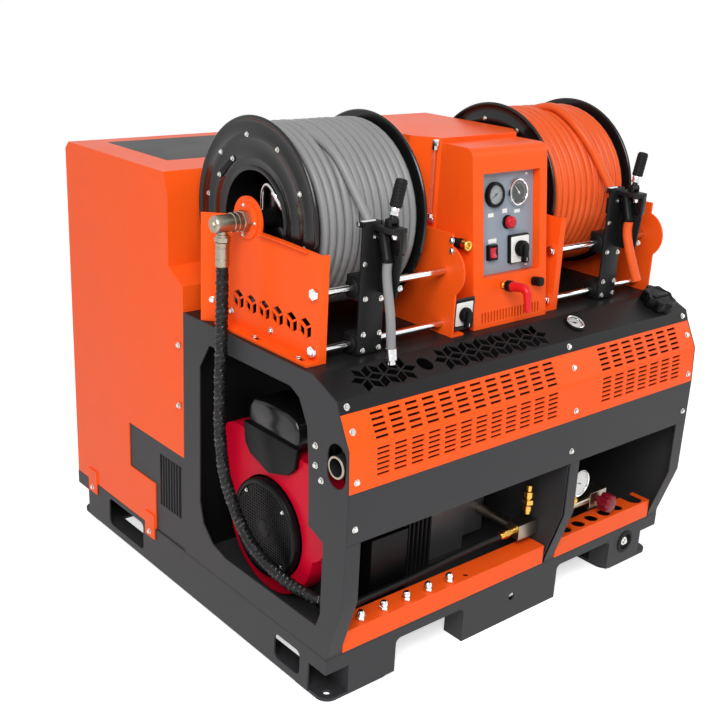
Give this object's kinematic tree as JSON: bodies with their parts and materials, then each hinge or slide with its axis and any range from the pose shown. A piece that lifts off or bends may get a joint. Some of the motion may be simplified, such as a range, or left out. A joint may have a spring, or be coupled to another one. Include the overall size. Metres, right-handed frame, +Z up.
{
  "type": "drain jetter",
  "caption": "Skid-mounted drain jetter: a water tank, an engine-driven pump in an open cabinet, and hose reels with sliding guides beside a control box.",
  "frame": {"origin": "middle of the machine's box at the ground", "axes": "+X from the reel with the supply hose to the other reel, +Y from the control side to the tank, +Z up"},
  "size_m": [1.252, 1.178, 1.2019],
  "materials": {
    "orange_paint": "satin",
    "charcoal_paint": "satin",
    "black_paint": "satin",
    "panel_grey": "matte",
    "black_plastic": "matte",
    "red_plastic": "gloss",
    "red_shroud": "gloss",
    "bright_steel": "brushed",
    "brass": "polished",
    "cast_metal": "cast",
    "clear_tube": "gloss",
    "hose_grey": "matte",
    "hose_orange": "matte",
    "hose_black": "matte"
  },
  "bodies": {
    "frame": {"base_floor": "charcoal_paint", "front_beam": "charcoal_paint", "rear_beam": "charcoal_paint", "left_beam": "charcoal_paint", "right_beam": "charcoal_paint", "left_side_plate": "charcoal_paint", "right_side_plate": "charcoal_paint", "centre_partition": "charcoal_paint", "top_deck": "black_paint", "louvre_panel": "orange_paint", "lower_panel": "charcoal_paint", "tool_ledges": "orange_paint", "spare_nozzles": "bright_steel", "water_tank": "orange_paint", "tank_cover": "black_paint", "vent_guards": "charcoal_paint", "centre_tower": "orange_paint", "level_tube": "clear_tube", "control_box": "orange_paint", "control_panel": "panel_grey", "panel_instruments": "black_plastic", "brass_fittings": "brass", "left_outer_bracket": "orange_paint", "left_inner_bracket": "orange_paint", "right_inner_bracket": "orange_paint", "right_outer_bracket": "orange_paint", "guide_rods": "bright_steel", "left_swivel": "bright_steel", "right_swivel": "bright_steel", "supply_hose": "hose_black", "pump_hose": "hose_black", "engine_block": "cast_metal", "engine_shroud": "red_shroud", "air_cleaner": "black_plastic", "muffler": "black_paint", "battery": "black_plastic", "gearbox": "cast_metal", "pump": "cast_metal", "pump_manifold": "bright_steel", "pressure_gauge": "bright_steel", "fuel_tank": "black_plastic", "panel_screws": "bright_steel"},
    "left_reel": {"left_reel": "black_paint", "left_hose": "hose_grey"},
    "right_reel": {"right_reel": "black_paint", "right_hose": "hose_orange"},
    "left_guide": {"left_guide": "black_paint", "left_hose_tail": "hose_grey"},
    "right_guide": {"right_guide": "black_paint", "right_hose_tail": "hose_orange"},
    "left_guide_lever": {"left_guide_lever": "black_plastic"},
    "right_guide_lever": {"right_guide_lever": "black_plastic"},
    "stop_button": {"stop_button": "red_plastic"},
    "rocker_switch": {"rocker_switch": "black_plastic"},
    "cam_switch": {"cam_switch": "black_plastic"},
    "selector_knob": {"selector_knob": "black_plastic"},
    "valve_lever": {"valve_lever": "red_plastic"},
    "fuel_cap": {"fuel_cap": "black_plastic"},
    "unloader_knob": {"unloader_knob": "black_plastic"},
    "engine_fan": {"engine_fan": "black_paint"}
  },
  "joints": [
    {"name": "left_reel_spin", "type": "hinge", "parent": "frame", "child": "left_reel", "pos_m": [-0.359, -0.165, 0.984], "axis": [1, 0, 0], "continuous": true},
    {"name": "right_reel_spin", "type": "hinge", "parent": "frame", "child": "right_reel", "pos_m": [0.359, -0.165, 0.984], "axis": [1, 0, 0], "continuous": true},
    {"name": "left_guide_slide", "type": "slide", "parent": "frame", "child": "left_guide", "axis": [1, 0, 0], "range_m": [-0.055, 0.16]},
    {"name": "right_guide_slide", "type": "slide", "parent": "frame", "child": "right_guide", "axis": [1, 0, 0], "range_m": [-0.13, 0.09]},
    {"name": "left_guide_lever_tilt", "type": "hinge", "parent": "left_guide", "child": "left_guide_lever", "pos_m": [-0.397, -0.461, 1.026], "axis": [1, 0, 0], "range_deg": [-20, 25]},
    {"name": "right_guide_lever_tilt", "type": "hinge", "parent": "right_guide", "child": "right_guide_lever", "pos_m": [0.394, -0.461, 1.026], "axis": [1, 0, 0], "range_deg": [-20, 25]},
    {"name": "stop_button_press", "type": "slide", "parent": "frame", "child": "stop_button", "axis": [0, 0.9925, -0.1219], "range_m": [0, 0.0025], "stiffness_N_per_m": 500},
    {"name": "rocker_tilt", "type": "hinge", "parent": "frame", "child": "rocker_switch", "pos_m": [-0.028, -0.40065, 0.9028], "axis": [1, 0, 0], "range_deg": [-8, 8]},
    {"name": "cam_switch_turn", "type": "hinge", "parent": "frame", "child": "cam_switch", "pos_m": [0.061, -0.40362, 0.90316], "axis": [0, -0.9925, 0.1219], "range_deg": [-90, 90]},
    {"name": "selector_turn", "type": "hinge", "parent": "frame", "child": "selector_knob", "pos_m": [-0.139, -0.433, 0.783], "axis": [0, -1, 0], "range_deg": [-60, 60]},
    {"name": "valve_lever_turn", "type": "hinge", "parent": "frame", "child": "valve_lever", "pos_m": [-0.011, -0.45544, 0.83396], "axis": [0, -0.9925, 0.1219], "range_deg": [0, 90]},
    {"name": "fuel_cap_turn", "type": "hinge", "parent": "frame", "child": "fuel_cap", "pos_m": [0.501, -0.497, 0.7226], "axis": [0, -0.4027, 0.9153], "range_deg": [0, 120]},
    {"name": "unloader_knob_turn", "type": "hinge", "parent": "frame", "child": "unloader_knob", "pos_m": [0.36, -0.501, 0.21], "axis": [0, -1, 0], "continuous": true},
    {"name": "engine_fan_spin", "type": "hinge", "parent": "frame", "child": "engine_fan", "pos_m": [-0.53, -0.241, 0.285], "axis": [1, 0, 0], "continuous": true}
  ]
}
